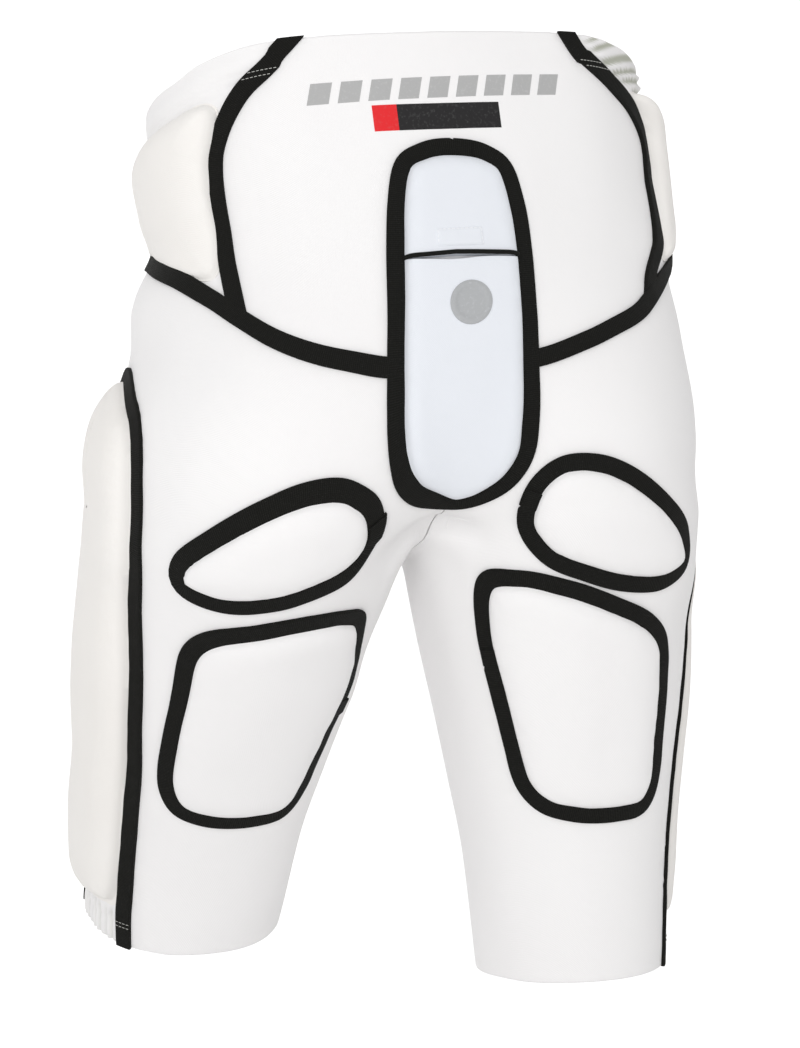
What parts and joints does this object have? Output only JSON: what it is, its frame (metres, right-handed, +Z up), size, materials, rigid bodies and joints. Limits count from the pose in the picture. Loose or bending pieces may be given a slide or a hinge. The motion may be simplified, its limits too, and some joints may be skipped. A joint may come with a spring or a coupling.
{
  "type": "hip protector shorts",
  "caption": "Padded protection shorts with pads at the hips, tailbone, seat and thighs, each outlined by flat sewn tape.",
  "frame": {"origin": "centre of the waist opening, level with the waist edge at the sides", "axes": "+Z up towards the waist opening, the wearer faces +Y, +X is the wearer's right"},
  "size_m": [0.375, 0.3127, 0.5493],
  "materials": {
    "shell_fabric": "matt white stretch knit",
    "pad_fabric": "matt off-white stretch cover over foam",
    "pocket_fabric": "matt cool white stretch cover over foam",
    "tape": "matt black woven elastic tape",
    "trim": "satin grey soft print"
  },
  "bodies": {
    "root": {"leg_left": "shell_fabric", "leg_right": "shell_fabric", "back_yoke": "shell_fabric", "front_yoke": "shell_fabric", "hip_panel_left": "shell_fabric", "hip_panel_right": "shell_fabric", "hip_pad_left": "pad_fabric", "hip_pad_right": "pad_fabric", "side_pad_left": "pad_fabric", "side_pad_right": "pad_fabric", "seat_pad_left": "pad_fabric", "seat_pad_right": "pad_fabric", "thigh_pad_left": "pad_fabric", "thigh_pad_right": "pad_fabric", "tailbone_flap": "pocket_fabric", "tailbone_pouch": "pocket_fabric", "tailbone_badge": "trim", "tailbone_tape": "tape", "seat_tape_left": "tape", "seat_tape_right": "tape", "thigh_tape_left": "tape", "thigh_tape_right": "tape", "side_tape_left": "tape", "side_tape_right": "tape", "yoke_tape_left": "tape", "yoke_tape_right": "tape", "rear_hip_tape_left": "tape", "rear_hip_tape_right": "tape", "front_hip_tape_left": "tape", "front_hip_tape_right": "tape"}
  },
  "joints": []
}
